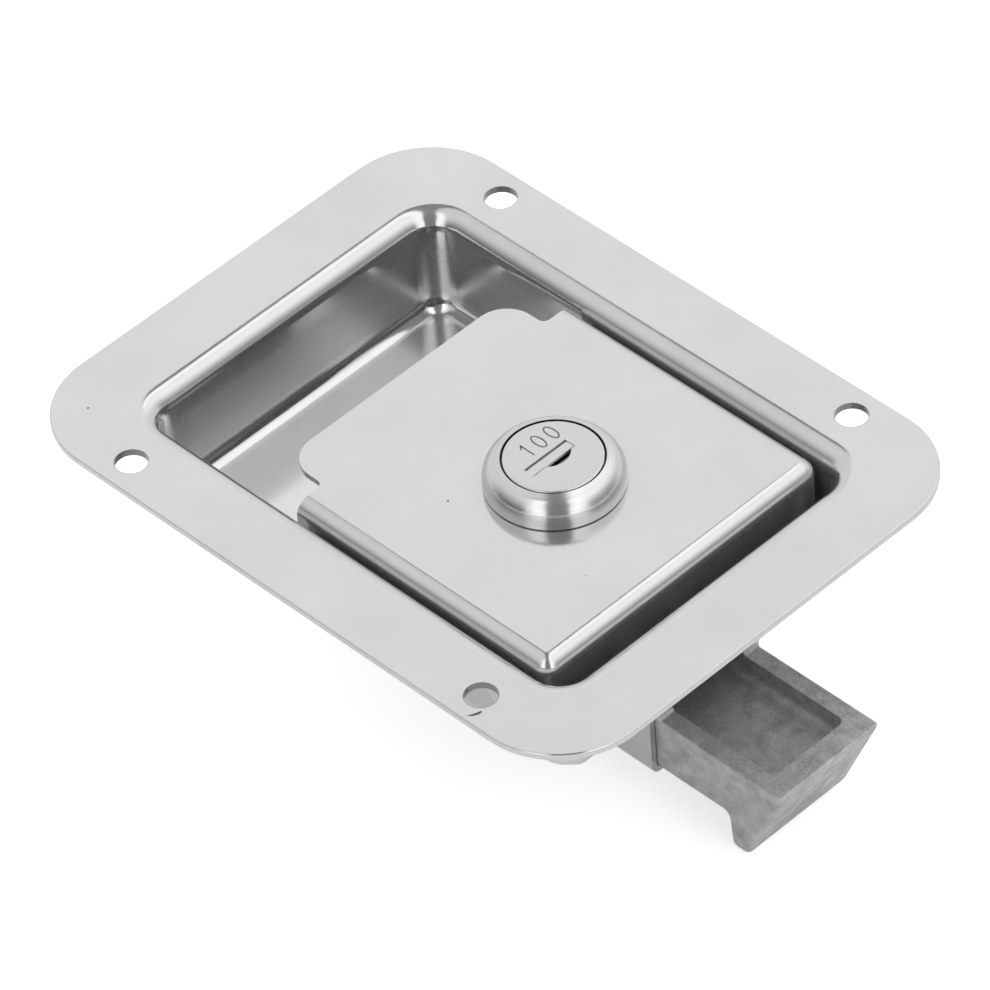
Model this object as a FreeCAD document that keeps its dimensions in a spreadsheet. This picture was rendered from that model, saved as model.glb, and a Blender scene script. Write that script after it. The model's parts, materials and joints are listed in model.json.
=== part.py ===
import FreeCAD, Part
import Sketcher
import math
import os
import re
from FreeCAD import Placement, Rotation, Vector

# Flush paddle latch with a keyed lock and a spring bolt.
# Frame: origin at the centre of the face plate's back, where the latch seats on its panel.
# +X runs along the plate towards the bolt, +Z out of the face, towards the hand.
# Lengths are millimetres and angles are degrees.

doc = FreeCAD.newDocument("paddle_latch")
sizes = doc.addObject("Spreadsheet::Sheet", "Sizes")

DRIVING = [
    # Face plate and drawn dish
    ("face_length", 140.0), ("face_width", 106.0), ("face_corner", 17.6), ("pan_sheet", 1.4),
    ("edge_break", 0.25),
    ("hole_inset_x", 25.75), ("hole_inset_y", 6.1), ("hole_dia", 6.2),
    ("end_rim", 13.9), ("side_rim", 13.0), ("dish_x", 0.7), ("dish_depth", 22.1),
    ("dish_draft", 1.9), ("dish_corner", 5.6), ("lip_radius", 3.8), ("floor_radius", 2.8),
    # Paddle
    ("paddle_sheet", 1.2), ("paddle_drop", 0.3), ("side_gap", 5.2), ("back_gap", 8.55),
    ("finger_space", 31.0), ("tongue_length", 10.0), ("tongue_inset", 6.8), ("tongue_corner", 6.4),
    ("notch_radius", 1.5), ("paddle_bend", 3.0), ("paddle_corner", 3.3), ("skirt_depth", 13.0),
    # Hinge
    ("hinge_set", 8.25), ("hinge_z", -6.5), ("hinge_dia", 4.0), ("turn_play", 0.05),
    ("pin_head_dia", 7.0), ("pin_head", 1.3), ("clip_sheet", 0.8), ("clip_groove", 0.5),
    ("spacer_dia", 8.0), ("spacer_play", 0.12),
    # Drive lever, which swings with the paddle and draws the bolt
    ("lever_width", 14.0), ("lever_sheet", 2.0), ("lever_reach", 20.5), ("lever_swing", 36.0),
    ("arm_half", 2.6), ("eye_radius", 4.6), ("saddle_front", 9.0), ("saddle_back", 5.2),
    ("floor_slot_play", 0.6), ("drive_play", 0.2),
    # Bolt
    ("bolt_width", 25.4), ("bolt_height", 12.4), ("bolt_top_z", -25.6), ("bolt_tail", 18.0),
    ("bolt_reach", 12.0), ("bevel_run", 9.04), ("nose_drop", 7.6), ("nose_length", 13.6),
    ("nose_lean", 0.6), ("trough_rim", 3.6), ("trough_end_rim", 5.1), ("trough_depth", 4.5),
    ("cast_round", 1.6), ("trough_edge", 1.2),
    ("rail_set", 0.4), ("rail_ramp", 1.6), ("rail_round", 1.0), ("slide_play", 0.15),
    ("bolt_edge", 0.9), ("tip_edge", 0.4),
    ("nose_round", 1.5), ("spring_bore_dia", 9.2), ("spring_bore_depth", 12.0),
    # Bolt housing
    ("housing_sheet", 1.2), ("housing_set", 5.6), ("housing_tail", 31.2),
    ("foot_set", 7.6), ("foot_corner", 2.4), ("bend_inside", 1.0), ("tab_slit", 0.4),
    # Bolt spring and its guide rod
    ("spring_wire", 1.1), ("spring_mean_dia", 7.2), ("spring_turns", 9.0), ("rod_dia", 3.8),
    ("rod_reach", 25.0), ("rod_head_dia", 6.4), ("rod_head", 1.4),
    # Lock
    ("lock_set", 32.25), ("ring_dia", 26.0), ("ring_height", 6.01), ("ring_curve", 4.35),
    ("ring_band", 3.76), ("ring_crease", 2.1), ("ring_slope", 22.0), ("face_gap", 0.2),
    ("face_sink", 0.09), ("face_edge", 0.3), ("ring_cover", 2.0),
    ("lock_head", 2.3), ("head_step", 1.6), ("flat_cut", 1.1), ("barrel_length", 13.6),
    ("barrel_wall", 2.9), ("window_end", 1.3), ("window_width", 2.5), ("window_y", -0.7),
    ("window_x", -0.25), ("thumb_length", 6.2), ("thumb_rise", 1.4), ("thumb_depth", 1.3),
    ("thumb_y", 0.4), ("shutter_sheet", 0.5),
    ("shutter_set", 0.12), ("shutter_play", 0.05), ("shutter_pin_dia", 0.7),
    ("shutter_wall", 0.3), ("shutter_hold", 0.9), ("keyway_floor", 3.2),
    ("nut_wall", 2.1), ("nut_height", 3.6), ("washer_sheet", 0.9), ("washer_band", 2.9),
    ("tail_side", 6.4), ("tail_length", 2.2), ("cam_sheet", 2.0), ("cam_reach", 15.0),
    ("cam_width", 9.0), ("cam_hub_dia", 12.0), ("cam_screw_dia", 4.0), ("cam_screw_head", 1.9),
    ("cam_screw_head_dia", 7.0), ("cam_washer_dia", 9.0), ("cam_washer_sheet", 0.7),
    ("wafer_count", 5.0), ("wafer_pitch", 2.1), ("wafer_sheet", 1.0), ("wafer_width", 4.4),
    ("wafer_travel", 0.7), ("wafer_play", 0.06),
    # Keeper that the cam turns under
    ("keeper_sheet", 1.3), ("keeper_width", 16.0), ("keeper_set", 3.6), ("keeper_lap", 3.4),
    ("keeper_foot", 9.0), ("keeper_gap", 0.5),
    # Paddle spring
    ("coil_wire", 1.2), ("coil_mean_dia", 6.4), ("coil_turns", 5.0), ("coil_pitch", 1.4),
]

# Sides of the wire's section in both springs, few enough to keep their meshes light.
WIRE_SIDES = 8

# Lengths that follow from the driving ones.
WORKED = {
    "hole_pitch_x": "face_length - 2 * hole_inset_x",
    "hole_pitch_y": "face_width - 2 * hole_inset_y",
    "dish_length": "face_length - 2 * end_rim",
    "dish_width": "face_width - 2 * side_rim",
    "paddle_width": "dish_width - 2 * side_gap",
    "paddle_back_x": "dish_x + dish_length / 2 - back_gap",
    "tongue_tip_x": "dish_x - dish_length / 2 + finger_space",
    "shoulder_x": "tongue_tip_x + tongue_length",
    "tongue_width": "paddle_width - 2 * tongue_inset",
    "hinge_x": "paddle_back_x - hinge_set",
    "saddle_front_x": "hinge_x - saddle_front",
    "saddle_back_x": "hinge_x + saddle_back",
    "bolt_rear_x": "hinge_x - bolt_tail",
    "bolt_end_x": "face_length / 2 + bolt_reach",
    "nose_inner_x": "bolt_end_x - nose_length",
    "housing_front_x": "dish_x + dish_length / 2 - housing_set",
    "housing_rear_x": "bolt_rear_x - housing_tail",
    "rail_front_x": "housing_front_x - rail_set",
    "foot_half": "dish_width / 2 - foot_set",
    "lock_x": "paddle_back_x - lock_set",
    "face_dia": "ring_dia - 2 * ring_band",
    "face_top": "ring_height - face_sink",
    "lock_head_dia": "ring_dia - 2 * ring_cover",
    "barrel_dia": "lock_head_dia - 2 * head_step",
    "barrel_flats": "barrel_dia - 2 * flat_cut",
    "plug_dia": "barrel_dia - 2 * barrel_wall",
    "window_length": "plug_dia - 2 * window_end",
    "washer_dia": "barrel_dia + 2 * washer_band",
    "nut_flats": "barrel_dia + 2 * nut_wall",
    "keeper_riser_x": "lock_x - cam_reach - keeper_set",
    "floor_top": "pan_sheet - dish_depth",
    "floor_under": "-dish_depth",
    "lip_reach": "lip_radius * tan(45 - dish_draft / 2)",
    "mouth_x": "dish_length / 2 - lip_reach",
    "mouth_y": "dish_width / 2 - lip_reach",
    "skin": "pan_sheet / cos(dish_draft) - pan_sheet * tan(dish_draft)",
    "paddle_top": "pan_sheet - paddle_drop",
    "paddle_under": "paddle_top - paddle_sheet",
    "skirt_end_z": "paddle_top - skirt_depth",
    "wall_inside_y": "mouth_y - (pan_sheet - hinge_z) * tan(dish_draft)",
    "wall_outside_y": "wall_inside_y + pan_sheet / cos(dish_draft)",
    "bolt_under_z": "bolt_top_z - bolt_height",
    "bolt_tip_z": "bolt_under_z - nose_drop",
    "trough_half": "bolt_width / 2 - trough_rim",
    "rail_top_z": "floor_under - slide_play",
    "trough_rear_x": "hinge_x + lever_reach * sin(lever_swing / 2) - arm_half - drive_play",
    "channel_half": "bolt_width / 2 + slide_play",
    "channel_floor_z": "bolt_under_z - slide_play",
    "bolt_axis_z": "bolt_top_z - bolt_height / 2",
    "arm_y": "(lever_width - lever_sheet) / 2",
    "slot_half": "(hinge_z - floor_under) * tan(lever_swing / 2)"
                 " + arm_half / cos(lever_swing / 2) + floor_slot_play",
    "ring_wall": "ring_height - ring_curve",
    "barrel_end": "-barrel_length",
    "tail_end": "barrel_end - turn_play - tail_length",
}


def formula(text):
    """Turn plain size names into the sheet's own names, so that a feature can be bound to them."""
    def swap(match):
        word = match.group(0)
        if word in WORKED:
            return "(" + formula(WORKED[word]) + ")"
        return "Sizes." + word if word in NAMES else word
    return re.sub(r"[a-z][a-z_]*", swap, str(text))


NAMES = [name for name, number in DRIVING]
for row, (name, number) in enumerate(DRIVING, start=1):
    sizes.set("A" + str(row), str(number))
    sizes.setAlias("A" + str(row), name)
doc.recompute()


def value(text):
    """The number that a formula gives."""
    return float(sizes.evalExpression(formula(text)))


pieces = []


def keep(piece, label):
    """Mark an object as one of the latch's pieces and give it the name of its file."""
    piece.Label = label
    pieces.append(piece)
    return piece


def new_body(label, turn=None, at=("0", "0", "0")):
    """An empty piece, turned first and then moved to its place in the latch."""
    body = doc.addObject("PartDesign::Body", "body_" + label)
    place(body, turn, at)
    return keep(body, label)


def place(item, turn, at):
    """Turn an object and bind its place to the sizes."""
    item.Placement = Placement(Vector(0, 0, 0), turn or Rotation())
    for axis, text in zip("xyz", at):
        item.setExpression("Placement.Base." + axis, formula(text))


def new_sketch(body, role, level="0"):
    """A sketch on one of the body's own planes, lifted along the plane's normal by a level."""
    sketch = body.newObject("Sketcher::SketchObject", "sketch")
    plane = [item for item in body.Origin.OriginFeatures if item.Role == role][0]
    sketch.AttachmentSupport = (plane, "")
    sketch.MapMode = "FlatFace"
    sketch.setExpression("AttachmentOffset.Base.z", formula(level))
    return sketch


def bind(sketch, kind, geometry, point, text):
    """Fix one coordinate of a point of the sketch to a formula."""
    index = sketch.addConstraint(make_constraint(kind, geometry, point, value(text)))
    sketch.setExpression("Constraints[" + str(index) + "]", formula(text))


def make_constraint(kind, geometry, point, number):
    """A distance of a point from the sketch's origin, along one of its two directions."""
    return Sketcher.Constraint(kind, -1, 1, geometry, point, number)


def outline(sketch, corners):
    """A closed outline through corners. A corner is (x, y) for a straight edge that ends there,
    or (x, y, centre x, centre y) for an arc to it, turning left, or right with a fifth item."""
    first = sketch.GeometryCount
    spots = [Vector(value(c[0]), value(c[1]), 0) for c in corners]
    ends = []
    for here, corner in enumerate(corners):
        start, stop = spots[here - 1], spots[here]
        if len(corner) == 2:
            sketch.addGeometry(Part.LineSegment(start, stop), False)
            ends.append((1, 2))
            continue
        centre = Vector(value(corner[2]), value(corner[3]), 0)
        right = len(corner) > 4
        a, b = (stop, start) if right else (start, stop)
        circle = Part.Circle(centre, Vector(0, 0, 1), (start - centre).Length)
        low = math.atan2(a.y - centre.y, a.x - centre.x)
        high = math.atan2(b.y - centre.y, b.x - centre.x)
        sketch.addGeometry(Part.ArcOfCircle(circle, low, high), False)
        ends.append((2, 1) if right else (1, 2))
    count = len(corners)
    for here in range(count):
        after = (here + 1) % count
        sketch.addConstraint(Sketcher.Constraint(
            "Coincident", first + here, ends[here][1], first + after, ends[after][0]))
    for here, corner in enumerate(corners):
        both = len(corner) == 2
        if not both:
            bind(sketch, "DistanceX", first + here, 3, corner[2])
            bind(sketch, "DistanceY", first + here, 3, corner[3])
            spoke = spots[here] - Vector(value(corner[2]), value(corner[3]), 0)
        if both or abs(spoke.y) >= abs(spoke.x):
            bind(sketch, "DistanceX", first + here, ends[here][1], corner[0])
        if both or abs(spoke.y) < abs(spoke.x):
            bind(sketch, "DistanceY", first + here, ends[here][1], corner[1])


def box_outline(sketch, x_low, x_high, y_low, y_high):
    """A rectangle between two x lines and two y lines."""
    outline(sketch, [(x_low, y_low), (x_high, y_low), (x_high, y_high), (x_low, y_high)])


def rounded_box(sketch, half_x, half_y, corner, middle_x="0"):
    """A rectangle with round corners about a point of the X axis."""
    low, high = middle_x + " - (" + half_x + ")", middle_x + " + (" + half_x + ")"
    low_in, high_in = low + " + " + corner, high + " - " + corner
    half_y, near_y = "(" + half_y + ")", "(" + half_y + " - " + corner + ")"
    outline(sketch, [
        (high_in, "-" + half_y), (high, "-" + near_y, high_in, "-" + near_y),
        (high, near_y), (high_in, half_y, high_in, near_y),
        (low_in, half_y), (low, near_y, low_in, near_y),
        (low, "-" + near_y), (low_in, "-" + half_y, low_in, "-" + near_y)])


def disc(sketch, x, y, diameter):
    """A circle with its centre and size bound to formulas."""
    spot = Vector(value(x), value(y), 0)
    index = sketch.addGeometry(Part.Circle(spot, Vector(0, 0, 1), value(diameter) / 2), False)
    bind(sketch, "DistanceX", index, 3, x)
    bind(sketch, "DistanceY", index, 3, y)
    size = sketch.addConstraint(Sketcher.Constraint("Diameter", index, value(diameter)))
    sketch.setExpression("Constraints[" + str(size) + "]", formula(diameter))


def pad(body, sketch, length, both=False, back=False, taper=None):
    """Raise a solid from a sketch."""
    feature = body.newObject("PartDesign::Pad", "pad")
    shape_feature(body, feature, sketch, length, both, back, taper)
    return feature


def pocket(body, sketch, length, both=False, back=False, taper=None):
    """Cut a sketch out of the body, and stop if nothing was cut."""
    before = body.Shape.Volume
    feature = body.newObject("PartDesign::Pocket", "pocket")
    shape_feature(body, feature, sketch, length, both, back, taper)
    if not body.Shape.Volume < before:
        raise RuntimeError("a cut in " + body.Label + " removes nothing")
    return feature


def shape_feature(body, feature, sketch, length, both, back, taper):
    """Set what a pad and a pocket have in common."""
    feature.Profile = sketch
    feature.setExpression("Length", formula(length))
    feature.SideType = "Symmetric" if both else "One side"
    feature.Reversed = back
    if taper:
        feature.setExpression("TaperAngle", formula(taper))
    sketch.Visibility = False
    doc.recompute()


def round_edges(body, radius, wanted):
    """Fillet the edges of the body's latest shape that a test picks out."""
    tip = body.Tip
    names = ["Edge" + str(i + 1) for i, edge in enumerate(tip.Shape.Edges) if wanted(edge)]
    if not names:
        raise RuntimeError("no edge to round in " + body.Label)
    feature = body.newObject("PartDesign::Fillet", "fillet")
    feature.Base = (tip, names)
    feature.setExpression("Radius", formula(radius))
    doc.recompute()
    return feature


def near(a, b, slack=0.02):
    """Whether two numbers are equal within a slack."""
    return abs(a - b) < slack


def middle(edge):
    """The point halfway along an edge."""
    return edge.valueAt((edge.FirstParameter + edge.LastParameter) / 2)


def level_edges(z):
    """A test for edges that lie all the way at one height."""
    number = value(z)
    return lambda edge: near(edge.BoundBox.ZMin, number) and near(edge.BoundBox.ZMax, number)


def upright_edges(edge):
    """A test for straight edges that rise from one height to another, drafted ones too."""
    ends = [vertex.Point for vertex in edge.Vertexes]
    if len(ends) < 2:
        return False
    rise = ends[1] - ends[0]
    return abs(rise.z) > 0.95 * edge.Length


def turned(label, profile, turn=None, at=("0", "0", "0")):
    """A turned piece: a half section (radius, height) swept once round its axis."""
    body = new_body(label, turn, at)
    spin(body, profile)
    return body


def spin(body, profile, cut=False):
    """Sweep a half section round the body's own upright axis, to add or to cut."""
    before = body.Shape.Volume if cut else 0
    sketch = new_sketch(body, "XZ_Plane")
    outline(sketch, profile)
    kind = "PartDesign::Groove" if cut else "PartDesign::Revolution"
    feature = body.newObject(kind, "turn")
    feature.Profile = sketch
    feature.ReferenceAxis = (sketch, ["V_Axis"])
    feature.Angle = 360
    sketch.Visibility = False
    doc.recompute()
    if cut and not body.Shape.Volume < before:
        raise RuntimeError("a groove in " + body.Label + " removes nothing")


def make_pan():
    """The face plate and its dish, drawn from one sheet, with all its holes."""
    body = new_body("pan")
    plate = new_sketch(body, "XY_Plane")
    rounded_box(plate, "face_length / 2", "face_width / 2", "face_corner")
    pad(body, plate, "pan_sheet")
    round_edges(body, "edge_break", lambda edge: near(edge.BoundBox.ZLength, 0))

    outside = new_sketch(body, "XY_Plane")
    rounded_box(outside, "mouth_x + skin", "mouth_y + skin", "(dish_corner + pan_sheet)", "dish_x")
    pad(body, outside, "dish_depth", back=True, taper="-dish_draft")
    reach_x, reach_y = value("dish_length / 2 + dish_x"), value("dish_width / 2")

    def dish_edges(level):
        at_level = level_edges(level)
        return lambda edge: (at_level(edge) and abs(middle(edge).x) < reach_x
                             and abs(middle(edge).y) < reach_y)
    round_edges(body, "floor_radius + pan_sheet", dish_edges("floor_under"))
    round_edges(body, "lip_radius - pan_sheet", dish_edges("0"))

    inside = new_sketch(body, "XY_Plane", "pan_sheet")
    rounded_box(inside, "mouth_x", "mouth_y", "dish_corner", "dish_x")
    pocket(body, inside, "dish_depth", taper="-dish_draft")
    round_edges(body, "floor_radius", dish_edges("floor_top"))
    round_edges(body, "lip_radius", dish_edges("pan_sheet"))

    holes = new_sketch(body, "XY_Plane", "pan_sheet")
    for side_x in ("-", ""):
        for side_y in ("-", ""):
            disc(holes, side_x + "hole_pitch_x/2", side_y + "hole_pitch_y/2", "hole_dia")
    pocket(body, holes, "pan_sheet * 2")

    slots = new_sketch(body, "XY_Plane", "floor_top")
    for side in (-1, 1):
        middle_y = str(side) + " * arm_y"
        half = "(lever_sheet / 2 + floor_slot_play)"
        box_outline(slots, "hinge_x - slot_half", "hinge_x + slot_half",
                    middle_y + " - " + half, middle_y + " + " + half)
    pocket(body, slots, "pan_sheet * 2")

    bore = new_sketch(body, "XZ_Plane")
    disc(bore, "hinge_x", "hinge_z", "hinge_dia + 2 * turn_play")
    pocket(body, bore, "face_width", both=True)


def end_rounded_box(sketch, x_low, x_high, half_y, corner):
    """A rectangle between two x lines, with round corners at the high end."""
    near_x, near_y = "(" + x_high + " - " + corner + ")", "(" + half_y + " - " + corner + ")"
    half_y = "(" + half_y + ")"
    outline(sketch, [(near_x, "-" + half_y), (x_high, "-" + near_y, near_x, "-" + near_y),
                     (x_high, near_y), (near_x, half_y, near_x, near_y),
                     (x_low, half_y), (x_low, "-" + half_y)])


def make_paddle():
    """The paddle cover: a flat tongue, a top and three turned-down skirts from one sheet."""
    body = new_body("paddle")
    front = value("shoulder_x")

    def bend_edges(level):
        at_level = level_edges(level)
        return lambda edge: at_level(edge) and not near(middle(edge).x, front)
    cover = new_sketch(body, "XY_Plane", "skirt_end_z")
    end_rounded_box(cover, "shoulder_x", "paddle_back_x", "paddle_width / 2", "paddle_corner")
    pad(body, cover, "skirt_depth")
    round_edges(body, "paddle_bend", bend_edges("paddle_top"))
    hollow = new_sketch(body, "XY_Plane", "skirt_end_z")
    end_rounded_box(hollow, "shoulder_x", "paddle_back_x - paddle_sheet",
                    "paddle_width / 2 - paddle_sheet", "(paddle_corner - paddle_sheet)")
    pocket(body, hollow, "skirt_depth - paddle_sheet", back=True)
    round_edges(body, "paddle_bend - paddle_sheet", bend_edges("paddle_under"))

    tongue = new_sketch(body, "XY_Plane", "paddle_under")
    box_outline(tongue, "tongue_tip_x", "shoulder_x", "-tongue_width/2", "tongue_width/2")
    pad(body, tongue, "paddle_sheet")
    tip = value("tongue_tip_x")
    root = value("tongue_width/2")
    round_edges(body, "tongue_corner",
                lambda edge: upright_edges(edge) and near(middle(edge).x, tip))
    round_edges(body, "notch_radius",
                lambda edge: upright_edges(edge) and near(middle(edge).x, front)
                and near(abs(middle(edge).y), root))

    hole = new_sketch(body, "XY_Plane", "paddle_top")
    flatted_disc(hole, "lock_x", "barrel_dia + 4 * turn_play", "barrel_flats + 4 * turn_play")
    pocket(body, hole, "paddle_sheet * 2")

    bore = new_sketch(body, "XZ_Plane")
    disc(bore, "hinge_x", "hinge_z", "hinge_dia + 2 * turn_play")
    pocket(body, bore, "face_width", both=True)


def flatted_disc(sketch, x, diameter, flats):
    """A circle about (x, 0) with two flats that face along X."""
    half = "(" + flats + ") / 2"
    rise = "sqrt(((" + diameter + ") / 2)^2 - (" + half + ")^2)"
    right, left = x + " + " + half, x + " - " + half
    outline(sketch, [(right, "-" + rise, x, "0"), (right, rise), (left, rise, x, "0"),
                     (left, "-" + rise)])


def make_hinge():
    """The hinge pin through both dish walls, its clip and the two spacers beside the paddle."""
    along_y = Rotation(Vector(1, 0, 0), -90)
    pin_at = ("hinge_x", "-wall_outside_y", "hinge_z")
    span = "2 * wall_outside_y"
    groove = span + " + clip_groove"
    pin = "hinge_dia / 2"
    neck = "(hinge_dia / 2 - clip_groove)"
    head = "pin_head_dia / 2"
    turned("hinge_pin", [
        ("0", "-pin_head - clip_groove"), (head + " - clip_groove", "-pin_head - clip_groove"),
        (head, "-pin_head"), (head, "-clip_groove"), (pin, "-clip_groove"), (pin, groove),
        (neck, groove), (neck, groove + " + clip_sheet + turn_play"),
        (pin, groove + " + clip_sheet + turn_play"), (pin, groove + " + 2 * clip_sheet"),
        ("0", groove + " + 2 * clip_sheet")], along_y, pin_at)

    clip = new_body("hinge_clip", along_y, pin_at)
    ring = new_sketch(clip, "XY_Plane", groove)
    disc(ring, "0", "0", "pin_head_dia")
    disc(ring, "0", "0", "hinge_dia - 2 * clip_groove + 2 * turn_play")
    pad(clip, ring, "clip_sheet")
    mouth = new_sketch(clip, "XY_Plane", groove)
    box_outline(mouth, "0", "pin_head_dia", "-hinge_dia/2 + clip_groove", "hinge_dia/2 - clip_groove")
    pocket(clip, mouth, "clip_sheet", back=True)

    rings = []
    for side in (-1, 1):
        low = "paddle_width/2 + spacer_play" if side > 0 else "-wall_inside_y + spacer_play * 2"
        length = "wall_inside_y - paddle_width/2 - 3 * spacer_play"
        blank = cylinder("spacer_dia / 2", length, along_y, ("hinge_x", low, "hinge_z"))
        hole = cylinder("hinge_dia / 2 + turn_play", length, along_y, ("hinge_x", low, "hinge_z"))
        rings.append(cut(blank, hole))
    group("hinge_spacers", rings)


def cylinder(radius, height, turn, at):
    """A round bar bound to the sizes."""
    item = doc.addObject("Part::Cylinder", "cylinder")
    item.setExpression("Radius", formula(radius))
    item.setExpression("Height", formula(height))
    place(item, turn, at)
    return item


def block(length, width, height, at):
    """A rectangular bar bound to the sizes, from its lowest corner."""
    item = doc.addObject("Part::Box", "box")
    for name, text in (("Length", length), ("Width", width), ("Height", height)):
        item.setExpression(name, formula(text))
    place(item, None, at)
    return item


def cut(base, tool):
    """One solid less another."""
    item = doc.addObject("Part::Cut", "cut")
    item.Base, item.Tool = base, tool
    return item


def common(base, tool):
    """What two solids share."""
    item = doc.addObject("Part::Common", "common")
    item.Base, item.Tool = base, tool
    return item


def group(label, items):
    """Like pieces kept side by side under one name."""
    item = doc.addObject("Part::Compound", "group_" + label)
    item.Links = items
    return keep(item, label)


def make_lever():
    """The drive lever: a saddle welded under the paddle, with two arms down to the bolt."""
    body = new_body("drive_lever")
    sine, cosine = "sin(lever_swing / 2)", "cos(lever_swing / 2)"

    def on_arm(along, across):
        return ("hinge_x + (" + along + ") * " + sine + " + (" + across + ") * " + cosine,
                "hinge_z - (" + along + ") * " + cosine + " + (" + across + ") * " + sine)
    tip = on_arm("lever_reach", "0")
    profile = new_sketch(body, "XZ_Plane")
    outline(profile, [
        on_arm("eye_radius * 1.6", "-arm_half"), on_arm("lever_reach", "-arm_half"),
        on_arm("lever_reach", "arm_half") + tip, on_arm("eye_radius * 1.6", "arm_half"),
        ("hinge_x + eye_radius", "hinge_z"), ("saddle_back_x", "paddle_under - lever_sheet"),
        ("saddle_back_x", "paddle_under"), ("saddle_front_x", "paddle_under"),
        ("saddle_front_x", "paddle_under - lever_sheet"), ("hinge_x - eye_radius", "hinge_z")])
    pad(body, profile, "lever_width", both=True)
    gap = new_sketch(body, "XZ_Plane")
    box_outline(gap, "saddle_front_x - lever_sheet", tip[0] + " + 2 * arm_half",
                tip[1] + " - 2 * arm_half", "paddle_under - lever_sheet")
    pocket(body, gap, "lever_width - 2 * lever_sheet", both=True)
    bore = new_sketch(body, "XZ_Plane")
    disc(bore, "hinge_x", "hinge_z", "hinge_dia + 2 * turn_play")
    pocket(body, bore, "face_width", both=True)


def make_bolt():
    """The cast spring bolt: bevelled hook nose, open trough for the lever and two guide rails."""
    body = new_body("bolt")
    side = new_sketch(body, "XZ_Plane")
    outline(side, [
        ("bolt_rear_x", "bolt_under_z"), ("nose_inner_x", "bolt_under_z"),
        ("nose_inner_x + nose_lean", "bolt_tip_z"), ("bolt_end_x - bevel_run", "bolt_tip_z"),
        ("bolt_end_x", "bolt_top_z"), ("rail_front_x + rail_ramp", "bolt_top_z"),
        ("rail_front_x", "rail_top_z"), ("bolt_rear_x", "rail_top_z")])
    pad(body, side, "bolt_width", both=True)
    tip, under = value("bolt_tip_z"), value("bolt_under_z")
    inner = value("nose_inner_x")
    across = value("bolt_width")
    spans = lambda edge: near(edge.BoundBox.YLength, across)
    round_edges(body, "nose_round",
                lambda edge: spans(edge) and near(middle(edge).z, under) and near(middle(edge).x, inner))
    round_edges(body, "nose_round",
                lambda edge: spans(edge) and near(middle(edge).z, tip))
    end, low, foot = value("bolt_end_x"), value("bolt_top_z"), value("rail_front_x + rail_ramp")
    round_edges(body, "rail_round",
                lambda edge: spans(edge) and near(middle(edge).x, foot) and near(middle(edge).z, low))
    bevel = value("hypot(bevel_run; bolt_top_z - bolt_tip_z) / 2")
    round_edges(body, "bolt_edge",
                lambda edge: not spans(edge) and middle(edge).x > inner and edge.Length > bevel
                and edge.BoundBox.ZLength > value("nose_drop"))
    round_edges(body, "tip_edge",
                lambda edge: near(edge.BoundBox.XMax, end) and edge.BoundBox.YLength > across / 2)

    trough = new_sketch(body, "XY_Plane", "rail_top_z")
    box_outline(trough, "trough_rear_x", "bolt_end_x - trough_end_rim", "-trough_half", "trough_half")
    pocket(body, trough, "rail_top_z - bolt_top_z + trough_depth")
    shelf = new_sketch(body, "XY_Plane", "rail_top_z")
    box_outline(shelf, "bolt_rear_x", "trough_rear_x + arm_half", "-trough_half", "trough_half")
    pocket(body, shelf, "rail_top_z - bolt_top_z")
    wall, trough_across = value("trough_rear_x"), value("2 * trough_half")
    round_edges(body, "trough_edge",
                lambda edge: near(middle(edge).x, wall) and near(middle(edge).z, low)
                and near(edge.BoundBox.YLength, trough_across))
    front, bottom = value("bolt_end_x - trough_end_rim"), value("bolt_top_z - trough_depth")
    round_edges(body, "cast_round",
                lambda edge: (upright_edges(edge) and near(middle(edge).x, front))
                or near(edge.BoundBox.ZMax, bottom))

    bore = new_sketch(body, "YZ_Plane", "bolt_rear_x")
    disc(bore, "0", "bolt_axis_z", "spring_bore_dia")
    pocket(body, bore, "spring_bore_depth", back=True)


def make_housing():
    """The bolt housing: a hat channel folded from sheet, with a rear tab for the spring."""
    body = new_body("bolt_housing")
    inner, floor = "channel_half", "channel_floor_z"
    outer = "channel_half + housing_sheet"
    under = "channel_floor_z - housing_sheet"
    foot_top, foot_under = "floor_under", "floor_under - housing_sheet"
    hat = new_sketch(body, "YZ_Plane", "housing_rear_x")
    outline(hat, [
        ("-foot_half", foot_under), ("-(" + outer + ")", foot_under), ("-(" + outer + ")", under),
        (outer, under), (outer, foot_under), ("foot_half", foot_under), ("foot_half", foot_top),
        (inner, foot_top), (inner, floor), ("-" + inner, floor), ("-" + inner, foot_top),
        ("-foot_half", foot_top)])
    pad(body, hat, "housing_front_x - housing_rear_x")
    along = value("housing_front_x - housing_rear_x")
    lengthwise = lambda edge: near(edge.BoundBox.XLength, along)
    half_in, half_out = value(inner), value(outer)
    low_in, low_out = value(floor), value(under)
    high_in, high_out = value(foot_top), value(foot_under)

    def corner(y, z):
        return lambda edge: (lengthwise(edge) and near(abs(middle(edge).y), y)
                             and near(middle(edge).z, z))
    for test_tight, test_wide in ((corner(half_in, low_in), corner(half_out, low_out)),
                                  (corner(half_out, high_out), corner(half_in, high_in))):
        round_edges(body, "bend_inside", test_tight)
        round_edges(body, "bend_inside + housing_sheet", test_wide)
    reach = value("foot_half")
    round_edges(body, "foot_corner",
                lambda edge: upright_edges(edge) and near(abs(middle(edge).y), reach))

    tab = new_sketch(body, "YZ_Plane", "housing_rear_x")
    box_outline(tab, "-channel_half + bend_inside + tab_slit", "channel_half - bend_inside - tab_slit",
                floor, foot_top + " - tab_slit")
    pad(body, tab, "housing_sheet")
    hole = new_sketch(body, "YZ_Plane", "housing_rear_x")
    disc(hole, "0", "bolt_axis_z", "rod_dia")
    pocket(body, hole, "housing_sheet", back=True)


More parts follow.
